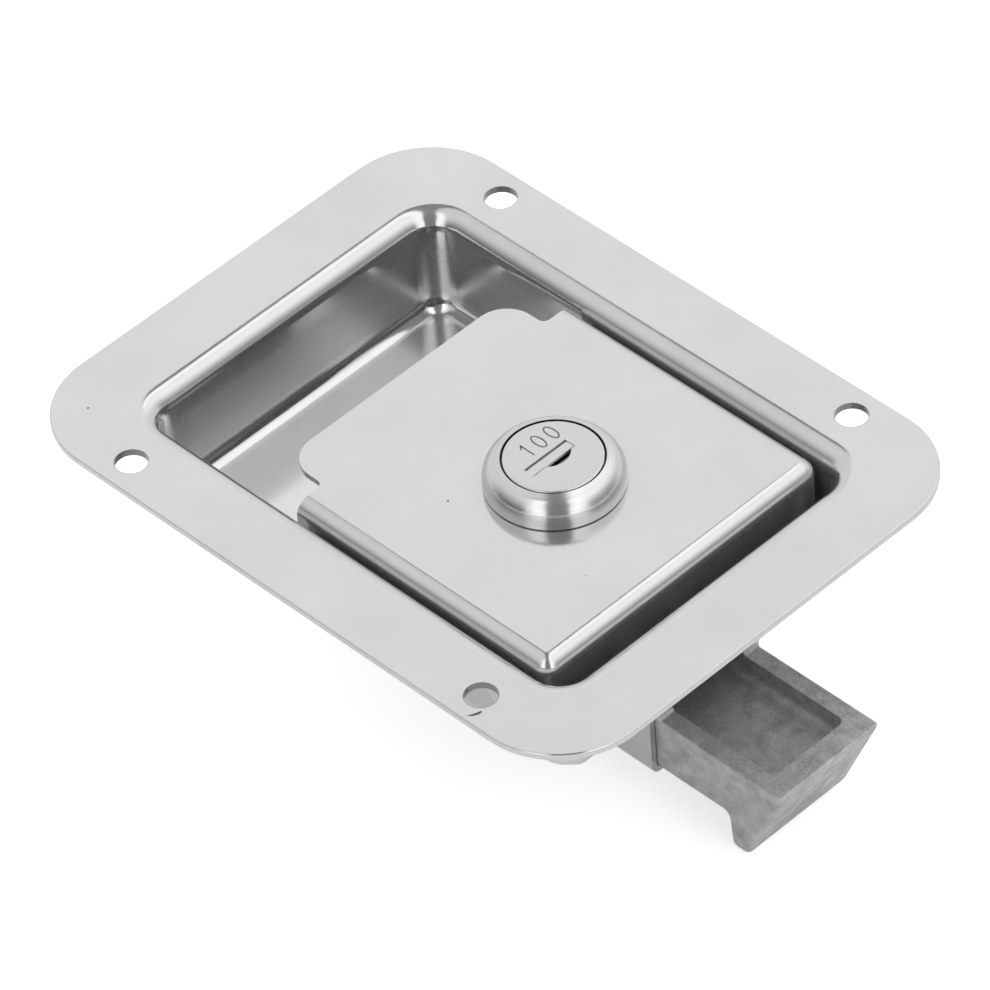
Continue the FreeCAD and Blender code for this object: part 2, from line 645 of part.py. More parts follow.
def make_bolt_spring():
    """The guide rod riveted in the rear tab, and the spring that drives the bolt out."""
    along_x = Rotation(Vector(0, 1, 0), 90)
    at_tab = ("housing_rear_x", "0", "bolt_axis_z")
    rod, head = "rod_dia / 2", "rod_head_dia / 2"
    turned("spring_rod", [
        ("0", "-rod_head"), (head + " / 2", "-rod_head"), (head, "-rod_head / 2"), (head, "0"),
        (rod, "0"), (rod, "rod_reach - rod_head"), (rod + " / 2", "rod_reach"), ("0", "rod_reach")],
        along_x, at_tab)
    seat = "housing_rear_x + housing_sheet + spring_wire / 2 + turn_play"
    far = "bolt_rear_x + spring_bore_depth - spring_wire / 2 - turn_play"
    halves = int(2 * value("spring_turns"))
    closed = value("spring_wire + turn_play") / 2
    spread = (value("(" + far + ") - (" + seat + ")") - 4 * closed) / (halves - 4)
    rises = [closed] * 2 + [spread] * (halves - 4) + [closed] * 2
    item = wound_wire("bolt_spring", value("spring_mean_dia / 2"), value("spring_wire"), rises)
    place(item, along_x, (seat, "0", "bolt_axis_z"))


def wound_wire(label, mean, wire, rises, legs=(0, 0)):
    """A coil of half turns about the upright axis, each a tilted half circle that climbs by one of
    the rises, with straight legs at its two ends. The wire's section has WIRE_SIDES sides."""
    spots = [Vector(mean, 0, 0)]
    for rise in rises:
        spots.append(Vector(-spots[-1].x, 0, spots[-1].z + rise))
    path = []
    for start, stop in zip(spots, spots[1:]):
        bulge = Vector(0, math.copysign((stop - start).Length / 2, start.x), 0)
        path.append(Part.Arc(start, (start + stop) / 2 + bulge, stop).toShape())
    if legs[0]:
        path.insert(0, Part.makeLine(spots[0] - Vector(0, legs[0], 0), spots[0]))
    if legs[1]:
        path.append(Part.makeLine(spots[-1], spots[-1] + Vector(0, legs[1], 0)))
    begin = path[0].valueAt(path[0].FirstParameter)
    turns = [2 * math.pi * (side + 0.5) / WIRE_SIDES for side in range(WIRE_SIDES)]
    ring = [begin + Vector(math.cos(turn), 0, math.sin(turn)) * (wire / 2) for turn in turns]
    item = doc.addObject("Part::Feature", label)
    item.Shape = Part.Wire(path).makePipeShell([Part.makePolygon(ring + ring[:1])], True, False)
    return keep(item, label)


def make_lock():
    """The keyed lock: trim ring, body, plug, shutter, wafers, nut, cam and their fixings."""
    at_lock = ("lock_x", "0", "paddle_top")
    bore = "(face_dia / 2 + face_gap)"
    counter = "(lock_head_dia / 2 + turn_play)"
    outside = "ring_dia / 2"
    centre = "(ring_dia / 2 - ring_curve)"
    crease = "(ring_dia / 2 - ring_crease)"
    rise = "ring_wall + sqrt(ring_curve^2 - (" + crease + " - " + centre + ")^2)"
    top = rise + " + (" + crease + " - " + bore + ") * tan(ring_slope)"
    turned("lock_ring", [
        (counter, "0"), (outside, "0"), (outside, "ring_wall"),
        (crease, rise, centre, "ring_wall"), (bore, top),
        (bore, "lock_head + turn_play"), (counter, "lock_head + turn_play")], None, at_lock)

    barrel = turned("lock_body", [
        ("plug_dia / 2 + turn_play", "barrel_end"), ("barrel_dia / 2", "barrel_end"),
        ("barrel_dia / 2", "0"), ("lock_head_dia / 2", "0"), ("lock_head_dia / 2", "lock_head"),
        ("plug_dia / 2 + turn_play", "lock_head")], None, at_lock)
    for side in ("-", ""):
        flat = new_sketch(barrel, "XY_Plane", "barrel_end")
        low, high = ("-lock_head_dia", "-barrel_flats / 2")
        if not side:
            low, high = "barrel_flats / 2", "lock_head_dia"
        box_outline(flat, low, high, "-lock_head_dia", "lock_head_dia")
        pocket(barrel, flat, "barrel_length", back=True)
    side, deep = "(wafer_width/2 + turn_play)", "(plug_dia/2 + wafer_travel + 2 * turn_play)"
    for x_low, x_high, y_low, y_high in (("-" + side, side, "-" + deep, "0"),
                                         ("0", deep, "-" + side, side)):
        groove = new_sketch(barrel, "XY_Plane", "barrel_end")
        box_outline(groove, x_low, x_high, y_low, y_high)
        pocket(barrel, groove, "barrel_length", back=True)

    plug = turned("lock_plug", [
        ("0", "barrel_end - turn_play"), ("plug_dia / 2", "barrel_end - turn_play"),
        ("plug_dia / 2", "lock_head + turn_play"), ("face_dia / 2", "lock_head + turn_play"),
        ("face_dia / 2", "face_top - face_edge"),
        ("face_dia / 2 - face_edge", "face_top", "face_dia / 2 - face_edge", "face_top - face_edge"),
        ("0", "face_top")], None, at_lock)
    tail = new_sketch(plug, "XY_Plane", "tail_end")
    box_outline(tail, "-tail_side/2", "tail_side/2", "-tail_side/2", "tail_side/2")
    pad(plug, tail, "tail_length")
    x_low, x_high = "window_x - window_width/2", "window_x + window_width/2"
    y_low, y_high = "window_y - window_length/2", "window_y + window_length/2"
    keyway = new_sketch(plug, "XY_Plane", "face_top")
    box_outline(keyway, x_low, x_high, y_low, y_high)
    pocket(plug, keyway, "face_top + barrel_length - keyway_floor")
    thumb = new_sketch(plug, "XY_Plane", "face_top")
    sag = "((thumb_length^2 / 4 - thumb_rise^2) / (2 * thumb_rise))"
    outline(thumb, [(x_high, "thumb_y - thumb_length / 2"),
                    (x_high, "thumb_y + thumb_length / 2", x_high + " - " + sag, "thumb_y")])
    pocket(plug, thumb, "thumb_depth")
    for row in range(int(value("wafer_count"))):
        low = "-wafer_pitch * " + str(row + 1)
        slot = new_sketch(plug, "XY_Plane", low)
        half = "(wafer_width / 2 + wafer_play)"
        box_outline(slot, "-" + half, half, "-plug_dia", "plug_dia")
        pocket(plug, slot, "wafer_sheet + 2 * wafer_play", back=True)
    thread = new_sketch(plug, "XY_Plane", "tail_end")
    disc(thread, "0", "0", "cam_screw_dia")
    pocket(plug, thread, "tail_length + cam_screw_dia / 2", back=True)

    make_shutter(plug, x_low)
    make_wafers()
    make_lock_fixings()


def make_shutter(plug, x_low):
    """The dust shutter that closes the key window, rolled round a fine pin across the plug."""
    knuckle = "(shutter_pin_dia / 2 + shutter_wall)"
    pin_x = x_low + " + " + knuckle + " + shutter_play"
    pin_z = "(face_top - shutter_set - " + knuckle + ")"
    span = "window_length + 2 * shutter_hold"
    seat = new_sketch(plug, "XZ_Plane", "-window_y")
    disc(seat, pin_x, pin_z, "shutter_pin_dia + 2 * shutter_play")
    pocket(plug, seat, span + " + 2 * shutter_play", both=True)

    at_pin = ("lock_x + " + pin_x, "window_y", "paddle_top + " + pin_z)
    body = new_body("dust_shutter", None, at_pin)
    flap = new_sketch(body, "XZ_Plane")
    swing = "(window_width - 2 * shutter_play - " + knuckle + ")"
    reach = "sqrt((" + swing + " - shutter_play)^2 - " + knuckle + "^2)"
    fold = knuckle + " - shutter_sheet"
    outline(flap, [("0", knuckle), ("0", "-" + knuckle, "0", "0"), (knuckle, fold),
                   (reach, fold), (reach, knuckle)])
    pad(body, flap, "window_length - 2 * shutter_play", both=True)
    bore = new_sketch(body, "XZ_Plane")
    disc(bore, "0", "0", "shutter_pin_dia + 2 * shutter_play")
    pocket(body, bore, "window_length", both=True)

    along_y = Rotation(Vector(1, 0, 0), -90)
    pin = cylinder("shutter_pin_dia / 2", span, along_y,
                   (at_pin[0], "window_y - (" + span + ") / 2", at_pin[2]))
    keep(pin, "shutter_pin")


def make_wafers():
    """The wafers, flat plates that slide across the plug and are windowed for the key."""
    wafers = []
    for row in range(int(value("wafer_count"))):
        low = "paddle_top - wafer_pitch * " + str(row + 1) + " + wafer_play"
        plate = block("wafer_width", "plug_dia", "wafer_sheet",
                      ("lock_x - wafer_width / 2", "-plug_dia / 2", low))
        core = cylinder("plug_dia / 2 - turn_play", "wafer_sheet", None, ("lock_x", "0", low))
        window = block("window_width + 2 * wafer_play", "plug_dia - 2 * wafer_sheet - 2 * wafer_travel",
                       "wafer_sheet", ("lock_x + window_x - window_width / 2 - wafer_play",
                                       "-plug_dia / 2 + wafer_sheet + wafer_travel", low))
        wafers.append(cut(common(plate, core), window))
    group("lock_wafers", wafers)


def make_lock_fixings():
    """The washer and nut that clamp the lock in the paddle, and the cam with its screw."""
    washer = new_body("lock_washer", None, ("lock_x", "0", "paddle_under - washer_sheet"))
    ring = new_sketch(washer, "XY_Plane")
    disc(ring, "0", "0", "washer_dia")
    disc(ring, "0", "0", "barrel_dia + 4 * turn_play")
    pad(washer, ring, "washer_sheet")

    nut = new_body("lock_nut", None, ("lock_x", "0", "paddle_under - washer_sheet - nut_height"))
    six = new_sketch(nut, "XY_Plane")
    turns = [60 * step + 30 for step in range(6)]
    reach = "nut_flats / 2 / cos(30) * "
    outline(six, [(reach + "cos(" + str(a) + ")", reach + "sin(" + str(a) + ")") for a in turns])
    pad(nut, six, "nut_height")
    bore = new_sketch(nut, "XY_Plane")
    disc(bore, "0", "0", "barrel_dia + 2 * turn_play")
    pocket(nut, bore, "nut_height", back=True)

    cam_top = "paddle_top + barrel_end - 2 * turn_play"
    cam = new_body("lock_cam", None, ("lock_x", "0", cam_top + " - cam_sheet"))
    hub = new_sketch(cam, "XY_Plane")
    disc(hub, "0", "0", "cam_hub_dia")
    pad(cam, hub, "cam_sheet")
    arm = new_sketch(cam, "XY_Plane")
    tip = "(cam_reach - cam_width / 2)"
    outline(arm, [("cam_width / 2", "0"), ("cam_width / 2", tip),
                  ("-cam_width / 2", tip, "0", tip), ("-cam_width / 2", "0")])
    pad(cam, arm, "cam_sheet")
    square = new_sketch(cam, "XY_Plane")
    side = "(tail_side / 2 + turn_play)"
    box_outline(square, "-" + side, side, "-" + side, side)
    pocket(cam, square, "cam_sheet", back=True)

    end_z = "paddle_top + tail_end"
    washer_top = ("lock_x", "0", end_z + " - cam_washer_sheet")
    turned("cam_washer", [
        ("cam_screw_dia / 2 + turn_play", "0"), ("cam_washer_dia / 2", "0"),
        ("cam_washer_dia / 2", "cam_washer_sheet"), ("cam_screw_dia / 2 + turn_play", "cam_washer_sheet")],
        None, washer_top)
    head = "cam_screw_head_dia / 2"
    screw = turned("cam_screw", [
        ("0", "-cam_screw_head"), (head + " * 0.7", "-cam_screw_head"),
        (head, "-cam_screw_head / 2"), (head, "0"), ("cam_screw_dia / 2", "0"),
        ("cam_screw_dia / 2", "cam_washer_sheet + tail_length"), ("0", "cam_washer_sheet + tail_length")],
        None, washer_top)
    for turn in (0, 1):
        recess = new_sketch(screw, "XY_Plane", "-cam_screw_head")
        long_half, thin_half = "cam_screw_dia / 2", "cam_washer_sheet / 2"
        if turn:
            long_half, thin_half = thin_half, long_half
        box_outline(recess, "-" + long_half, long_half, "-" + thin_half, thin_half)
        pocket(screw, recess, "cam_screw_head / 2", back=True)


def make_keeper():
    """The keeper on the dish floor. The cam turns under its lip to lock the paddle."""
    body = new_body("cam_keeper")
    side = new_sketch(body, "XZ_Plane")
    cam_z = "paddle_top + barrel_end - 2 * turn_play"
    lip_under = "(" + cam_z + " + keeper_gap)"
    lip_top = lip_under + " + keeper_sheet"
    lip_end = "lock_x - cam_reach + keeper_lap"
    riser_in, riser_out = "keeper_riser_x + keeper_sheet", "keeper_riser_x"
    outline(side, [
        (riser_out + " - keeper_foot", "floor_top"), (riser_in, "floor_top"), (riser_in, lip_under),
        (lip_end, lip_under), (lip_end, lip_top), (riser_out, lip_top),
        (riser_out, "floor_top + keeper_sheet"), (riser_out + " - keeper_foot", "floor_top + keeper_sheet")])
    pad(body, side, "keeper_width", both=True)
    corner_x, corner_z = value("keeper_riser_x"), value(lip_top)
    round_edges(body, "keeper_sheet * 1.2",
                lambda edge: near(middle(edge).x, corner_x) and near(middle(edge).z, corner_z))


def make_paddle_spring():
    """The torsion spring on the hinge pin: a close coil, one leg up to the saddle behind the pin
    and one leg down to the dish floor in front of it, clear of the paddle's swing."""
    halves = int(2 * value("coil_turns"))
    up = value("paddle_under - lever_sheet - turn_play - hinge_z")
    down = value("hinge_z - floor_top - turn_play")
    item = wound_wire("paddle_spring", value("coil_mean_dia / 2"), value("coil_wire"),
                      [value("coil_pitch / 2")] * halves, (up, down))
    along_y = Rotation(Vector(0, 0, 1), 180).multiply(Rotation(Vector(1, 0, 0), -90))
    place(item, along_y, ("hinge_x", "coil_pitch * coil_turns / 2", "hinge_z"))


make_pan()
make_paddle()
make_hinge()
make_lever()
make_bolt()
make_housing()
make_bolt_spring()
make_lock()
make_keeper()
make_paddle_spring()
doc.recompute()

for item in doc.Objects:
    if "Invalid" in item.State or "Error" in item.State:
        raise RuntimeError("the feature " + item.Name + " failed")
for piece in pieces:
    if piece.Shape.isNull() or not piece.Shape.isValid():
        raise RuntimeError("the piece " + piece.Label + " has no sound shape")

os.makedirs("parts", exist_ok=True)
for piece in pieces:
    piece.Shape.exportStep("parts/" + piece.Label + ".step")
    print(piece.Label, len(piece.Shape.Solids), round(piece.Shape.Volume, 1))
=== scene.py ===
# %% [markdown]
# # A flush paddle latch in polished stainless steel
#
# The latch is a drawn steel dish with a lifting paddle, a keyed lock and a cast spring bolt.
# Its solids come ready made and stay as they are. This lesson gives them their surfaces,
# adds the small marks that are too fine to model as solids, and sets up the studio.
# All lengths are metres. +X runs towards the bolt and +Z out of the face.

# %% Load the solids
import json
import math
import bpy
import numpy as np
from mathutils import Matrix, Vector


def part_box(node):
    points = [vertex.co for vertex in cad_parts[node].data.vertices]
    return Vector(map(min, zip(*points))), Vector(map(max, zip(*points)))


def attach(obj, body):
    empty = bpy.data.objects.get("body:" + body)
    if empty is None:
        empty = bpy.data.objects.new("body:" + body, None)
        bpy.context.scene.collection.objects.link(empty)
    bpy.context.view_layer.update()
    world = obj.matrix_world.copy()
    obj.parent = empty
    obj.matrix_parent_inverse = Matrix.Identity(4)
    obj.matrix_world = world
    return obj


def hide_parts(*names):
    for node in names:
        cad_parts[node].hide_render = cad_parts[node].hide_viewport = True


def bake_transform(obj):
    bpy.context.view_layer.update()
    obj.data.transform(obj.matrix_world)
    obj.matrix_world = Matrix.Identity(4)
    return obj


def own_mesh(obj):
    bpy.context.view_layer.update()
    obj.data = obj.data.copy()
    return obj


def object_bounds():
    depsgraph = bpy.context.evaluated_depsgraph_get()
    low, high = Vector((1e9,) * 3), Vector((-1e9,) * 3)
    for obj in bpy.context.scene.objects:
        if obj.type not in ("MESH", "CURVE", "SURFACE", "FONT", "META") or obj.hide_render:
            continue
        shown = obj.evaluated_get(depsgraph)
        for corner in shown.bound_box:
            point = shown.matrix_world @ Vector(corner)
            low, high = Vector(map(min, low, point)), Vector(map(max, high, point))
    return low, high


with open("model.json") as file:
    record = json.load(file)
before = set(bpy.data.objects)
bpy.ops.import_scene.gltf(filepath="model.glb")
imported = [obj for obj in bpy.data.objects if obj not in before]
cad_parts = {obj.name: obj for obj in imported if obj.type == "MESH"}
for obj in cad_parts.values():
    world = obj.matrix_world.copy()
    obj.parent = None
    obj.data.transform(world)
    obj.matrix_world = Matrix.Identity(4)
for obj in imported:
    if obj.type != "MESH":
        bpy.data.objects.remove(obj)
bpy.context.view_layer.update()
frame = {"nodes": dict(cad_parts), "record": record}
nodes = frame["nodes"]
MM = 0.001
PROUD = 0.01 * MM  # how far a mark lies above its surface

# %% [markdown]
# ## Small tools for node trees
#
# `add` puts one node in a tree and fills its inputs by name. A value that is itself a socket
# is linked, so a chain of nodes reads from top to bottom.
# `new_group` opens a reusable group that hands out values and normals only.

# %% Node tools
def add(tree, kind, out=0, **inputs):
    """Add a node, fill or link its inputs, and return one of its outputs."""
    node = tree.nodes.new("ShaderNode" + kind)
    for name, value in inputs.items():
        if name.startswith("set_"):
            setattr(node, name[4:], value)
            continue
        key = int(name[1:]) if name[0] == "i" and name[1:].isdigit() else name.replace("_", " ")
        socket = node.inputs[key]
        if isinstance(value, bpy.types.NodeSocket):
            tree.links.new(value, socket)
        else:
            socket.default_value = value
    return node.outputs[out]


def maths(tree, operation, a, b=0.0):
    """One arithmetic step on two numbers or sockets."""
    return add(tree, "Math", set_operation=operation, i0=a, i1=b)


def plus(tree, a, b):
    """a + b"""
    return maths(tree, "ADD", a, b)


def minus(tree, a, b):
    """a - b"""
    return maths(tree, "SUBTRACT", a, b)


def times(tree, a, b):
    """a * b"""
    return maths(tree, "MULTIPLY", a, b)


def length(tree, a, b):
    """sqrt(a^2 + b^2)"""
    return maths(tree, "SQRT", plus(tree, times(tree, a, a), times(tree, b, b)))


def new_group(name, inputs, outputs):
    """A node group with number inputs and the given outputs.

    It returns the group, the sockets that come in and the sockets that go out.
    """
    group = bpy.data.node_groups.new(name, "ShaderNodeTree")
    for label, default in inputs:
        socket = group.interface.new_socket(label, in_out="INPUT", socket_type="NodeSocketFloat")
        socket.default_value = default
    for label, kind in outputs:
        group.interface.new_socket(label, in_out="OUTPUT", socket_type="NodeSocket" + kind)
    given = group.nodes.new("NodeGroupInput").outputs
    return group, given, group.nodes.new("NodeGroupOutput").inputs


def use_group(tree, group, **inputs):
    """Place a group in a tree and return its outputs."""
    node = tree.nodes.new("ShaderNodeGroup")
    node.node_tree = group
    for name, value in inputs.items():
        node.inputs[name.replace("_", " ")].default_value = value
    return node.outputs


def noise(tree, where, scale, detail=3.0, rough=0.5):
    """Fractal noise between 0 and 1, with its scale in waves per metre."""
    return add(tree, "TexNoise", Vector=where, Scale=scale, Detail=detail, Roughness=rough)


def spread(tree, value, low, high, out_low=0.0, out_high=1.0):
    """Move a value from one range to another and stop it at the ends."""
    return add(tree, "MapRange", Value=value, From_Min=low, From_Max=high,
               To_Min=out_low, To_Max=out_high)


def split_position(tree):
    """The place on the object, whole and as its X, Y and Z."""
    where = add(tree, "TexCoord", out="Object")
    parts = tree.nodes.new("ShaderNodeSeparateXYZ")
    tree.links.new(where, parts.inputs[0])
    return where, parts.outputs["X"], parts.outputs["Y"], parts.outputs["Z"]


print("node tools ready")

# %% [markdown]
# ## The finish of rolled and polished sheet
#
# Polished stainless is never quite even. Broad clouds are left by the buffing wheel, fine
# lines follow its travel, and a tiny grain catches the light. The group adds the three as
# height = waves * clouds + lines * hairlines + grain * speckle
# and turns that height into a normal. Smaller smears vary the roughness.
# Where the sheet is drawn into a dish, the wall is duller than the rim and the floor. Three tones
# are painted in there as well: painted shade darkens the wall, for the shade under the paddle that
# it reflects; a painted highlight pales the dish floor, for the bright room it reflects; and
# painted shade darkens the punched walls of the screw holes. With a and b as the distances along X
# and Y from the nearest hole's axis, a hole's wall is where sqrt(a^2 + b^2) is the hole's radius.

# %% Sheet finish group
pattern = next(m for m in frame["record"]["mounts"] if m["name"] == "mounting_holes")["dims"]
HOLE_X, HOLE_Y = pattern["spacing_x_mm"] / 2 * MM, pattern["spacing_y_mm"] / 2 * MM
HOLE_RADIUS = pattern["hole_r_mm"] * MM
WALL_STARTS, WALL_IS_FULL = -2.5 * MM, -6.5 * MM
FLOOR_STARTS, FLOOR_IS_FULL = -16.5 * MM, -18.5 * MM
# The wall's darkness below is painted shade; the floor's paleness is a painted highlight and the
# holes' darkness painted shade.
WALL_ROUGHNESS, WALL_PAINTED_SHADE = 0.19, 0.35
FLOOR_PAINTED_HIGHLIGHT, HOLE_PAINTED_SHADE = 0.5, 2.2

sheet, given, result = new_group(
    "Sheet finish", [("Waves", 1.0), ("Lines", 1.0), ("Grain", 1.0), ("Drawn", 0.0)],
    [("Tone", "Float"), ("Roughness", "Float"), ("Normal", "Vector")])
where, x, y, height = split_position(sheet)
clouds = noise(sheet, where, 38.0, 4.0)
smears = noise(sheet, where, 160.0, 5.0, 0.6)
along = add(sheet, "Mapping", Vector=where, Rotation=(0, 0, 0.35), Scale=(0.035, 1.0, 1.0))
hairlines = noise(sheet, along, 2600.0, 3.0)
speckle = noise(sheet, where, 5200.0, 2.0)

dish_floor = spread(sheet, height, FLOOR_STARTS, FLOOR_IS_FULL)
below_rim = spread(sheet, height, WALL_STARTS, WALL_IS_FULL)
wall = times(sheet, given["Drawn"], minus(sheet, below_rim, dish_floor))
across = minus(sheet, maths(sheet, "ABSOLUTE", x), HOLE_X)
beside = minus(sheet, maths(sheet, "ABSOLUTE", y), HOLE_Y)
near_hole = spread(sheet, length(sheet, across, beside),
                   HOLE_RADIUS + 0.12 * MM, HOLE_RADIUS + 0.04 * MM)
punched = times(sheet, given["Drawn"], near_hole)

polish = spread(sheet, smears, 0.3, 0.7, 0.08, 0.13)
sheet.links.new(plus(sheet, polish, times(sheet, wall, WALL_ROUGHNESS)), result["Roughness"])
tone = plus(sheet, times(sheet, clouds, 0.6), times(sheet, smears, 0.4))
# Painted highlight pales the dish floor; painted shade darkens the wall and the holes' punched
# walls.
highlight_painted_in = times(sheet, times(sheet, dish_floor, given["Drawn"]), FLOOR_PAINTED_HIGHLIGHT)
shade_painted_in = plus(sheet, times(sheet, wall, WALL_PAINTED_SHADE), times(sheet, punched, HOLE_PAINTED_SHADE))
sheet.links.new(minus(sheet, plus(sheet, tone, highlight_painted_in), shade_painted_in), result["Tone"])

waves = add(sheet, "Bump", Strength=times(sheet, given["Waves"], 0.08),
            Distance=0.4 * MM, Height=clouds)
lines = add(sheet, "Bump", Strength=times(sheet, given["Lines"], 0.05),
            Distance=0.1 * MM, Height=hairlines, Normal=waves)
grains = add(sheet, "Bump", Strength=times(sheet, given["Grain"], 0.06),
             Distance=0.1 * MM, Height=speckle, Normal=lines)
sheet.links.new(grains, result["Normal"])
print("group:", sheet.name)

# %% [markdown]
# ## The finish of a zinc casting
#
# A tumbled casting is matt, mottled in patches of a few millimetres and pitted below that.
# The lighter its patches, the smoother they are, where handling has rubbed them.

# %% Casting group
casting, given, result = new_group(
    "Casting", [("Pits", 1.0)], [("Tone", "Float"), ("Roughness", "Float"), ("Normal", "Vector")])
where = add(casting, "TexCoord", out="Object")
patches = noise(casting, where, 300.0, 4.0, 0.55)
pits = noise(casting, where, 2600.0, 4.0, 0.7)
skin = plus(casting, times(casting, patches, 0.45), times(casting, pits, 0.55))
casting.links.new(spread(casting, skin, 0.34, 0.66), result["Tone"])
casting.links.new(spread(casting, patches, 0.3, 0.7, 0.58, 0.42), result["Roughness"])
rough_skin = add(casting, "Bump", Strength=times(casting, given["Pits"], 0.35),
                 Distance=0.2 * MM, Height=pits)
uneven_skin = add(casting, "Bump", Strength=0.25, Distance=0.5 * MM, Height=patches,
                  Normal=rough_skin)
casting.links.new(uneven_skin, result["Normal"])
print("group:", casting.name)

# %% [markdown]
# ## The finish of a turned piece
#
# A lathe leaves rings round the axis. The group reads the distance from that axis,
# distance = sqrt((x - centre)^2 + y^2)
# and feeds it, with the height, to a noise that knows no angle, so every mark is a full ring.
# Painted shade darkens two thin lines, standing for the shade in the creases: just above the height
# Foot, where the piece stands on another, and just outside the radius Bore, round whatever turns in
# it.

# %% Turned finish group
turned, given, result = new_group(
    "Turned finish", [("Centre", 0.0), ("Depth", 1.0), ("Foot", -1.0), ("Bore", 0.0)],
    [("Ring", "Float"), ("Crease shade", "Float"), ("Normal", "Vector")])
where, x, y, height = split_position(turned)
distance = length(turned, minus(turned, x, given["Centre"]), y)
rings = noise(turned, add(turned, "CombineXYZ", X=distance, Y=height, Z=0.0), 5200.0, 2.0)
turned.links.new(rings, result["Ring"])
# The foot and bore masks paint shade into these two creases.
foot = spread(turned, minus(turned, height, given["Foot"]), 0.34 * MM, 0.16 * MM)
bore = spread(turned, minus(turned, distance, given["Bore"]), 0.16 * MM, 0.08 * MM)
turned.links.new(maths(turned, "MAXIMUM", foot, bore), result["Crease shade"])
ring_bumps = add(turned, "Bump", Strength=times(turned, given["Depth"], 0.1),
                 Distance=0.1 * MM, Height=rings)
turned.links.new(ring_bumps, result["Normal"])
print("group:", turned.name)

# %% [markdown]
# ## Materials
#
# Every surface here is bare metal but for the nylon spacers. `metal` starts a material with
# the constants on the shader itself, and hands back its tree and shader for the rest.
# The tone of each finish picks a colour between a dark and a light grey of the same metal.
# A tone below 0 goes on past the dark grey, as the painted shade on the punched holes' walls does.

# %% Material tools
def grey(level):
    """A neutral colour."""
    return (level, level, level)


def metal(name, rough, metallic=1.0, tint=grey(0.6), **constants):
    """A new material with its plain values set on the shader."""
    made = bpy.data.materials.new(name)
    made.use_nodes = True
    tree = made.node_tree
    shader = tree.nodes["Principled BSDF"]
    shader.inputs["Base Color"].default_value = (*tint, 1.0)
    shader.inputs["Roughness"].default_value = rough
    shader.inputs["Metallic"].default_value = metallic
    for socket, value in constants.items():
        shader.inputs[socket.replace("_", " ")].default_value = value
    return made, tree, shader


def blend(tree, factor, dark, light):
    """A colour between two others, each a plain colour or a socket, picked by a factor."""
    node = tree.nodes.new("ShaderNodeMix")
    node.data_type = "RGBA"
    node.clamp_factor = False
    tree.links.new(factor, node.inputs["Factor"])
    for end, colour in (("A", dark), ("B", light)):
        if isinstance(colour, bpy.types.NodeSocket):
            tree.links.new(colour, node.inputs[end])
        else:
            node.inputs[end].default_value = (*colour, 1.0)
    return node.outputs["Result"]


def join(tree, shader, **sockets):
    """Link sockets to the shader's inputs by name."""
    for name, socket in sockets.items():
        tree.links.new(socket, shader.inputs[name.replace("_", " ")])


def dress(material, *names):
    """Give a material to solids."""
    for name in names:
        mesh = nodes[name].data
        mesh.materials.clear()
        mesh.materials.append(material)


print("material tools ready")

# %% Sheet steel, polished and plain
def sheet_steel(name, dark, light, metallic=1.0, **amounts):
    """Sheet metal with the sheet finish in given amounts."""
    made, tree, shader = metal(name, 0.2, metallic)
    finish = use_group(tree, sheet, **amounts)
    join(tree, shader, Base_Color=blend(tree, finish["Tone"], dark, light),
         Roughness=finish["Roughness"], Normal=finish["Normal"])
    return made


POLISHED = 0.84
dish_steel = sheet_steel("drawn_stainless", grey(0.53), grey(0.71), POLISHED,
                         Waves=1.0, Lines=1.0, Grain=1.0, Drawn=1.0)
stainless = sheet_steel("polished_stainless", grey(0.55), grey(0.69), POLISHED,
                        Waves=1.0, Lines=1.5, Grain=1.0)
plain_sheet = sheet_steel("plain_sheet", grey(0.52), (0.66, 0.66, 0.655),
                          Waves=1.5, Lines=2.0, Grain=2.5)
plated_steel = sheet_steel("zinc_plated_steel", (0.50, 0.51, 0.52), (0.66, 0.66, 0.65),
                           Waves=2.0, Lines=0.5, Grain=3.0)
dress(dish_steel, "pan")
dress(stainless, "paddle")
dress(plain_sheet, "bolt_housing")
dress(plated_steel, "drive_lever", "cam_keeper", "lock_cam", "lock_washer", "cam_washer",
      "cam_screw", "hinge_pin", "spring_rod")
print("four sheet steels")

# %% Castings
def cast_zinc(name, dark, light, pits):
    """Cast zinc, matt and mottled."""
    made, tree, shader = metal(name, 0.5, 0.85)
    finish = use_group(tree, casting, Pits=pits)
    join(tree, shader, Base_Color=blend(tree, finish["Tone"], dark, light),
         Roughness=finish["Roughness"], Normal=finish["Normal"])
    return made


dress(cast_zinc("bolt_zinc", (0.30, 0.30, 0.305), grey(0.62), 1.0), "bolt")
dress(cast_zinc("lock_zinc", grey(0.42), grey(0.56), 0.5), "lock_body", "lock_nut")
print("two castings")

# %% Turned and drawn pieces
# The colour of the painted crease shade.
CREASE_SHADE = grey(0.05)


def turned_metal(name, dark, light, rough, centre, depth, metallic=1.0, **edges):
    """Metal with lathe rings round an upright axis, and painted crease shade where edges are given.
    """
    made, tree, shader = metal(name, rough, metallic)
    finish = use_group(tree, turned, Centre=centre, Depth=depth, **edges)
    shade = blend(tree, finish["Ring"], dark, light)
    # Painted shade darkens the creases at the foot and round the bore.
    if edges:
        shade = blend(tree, finish["Crease shade"], shade, CREASE_SHADE)
    join(tree, shader, Base_Color=shade, Normal=finish["Normal"])
    return made


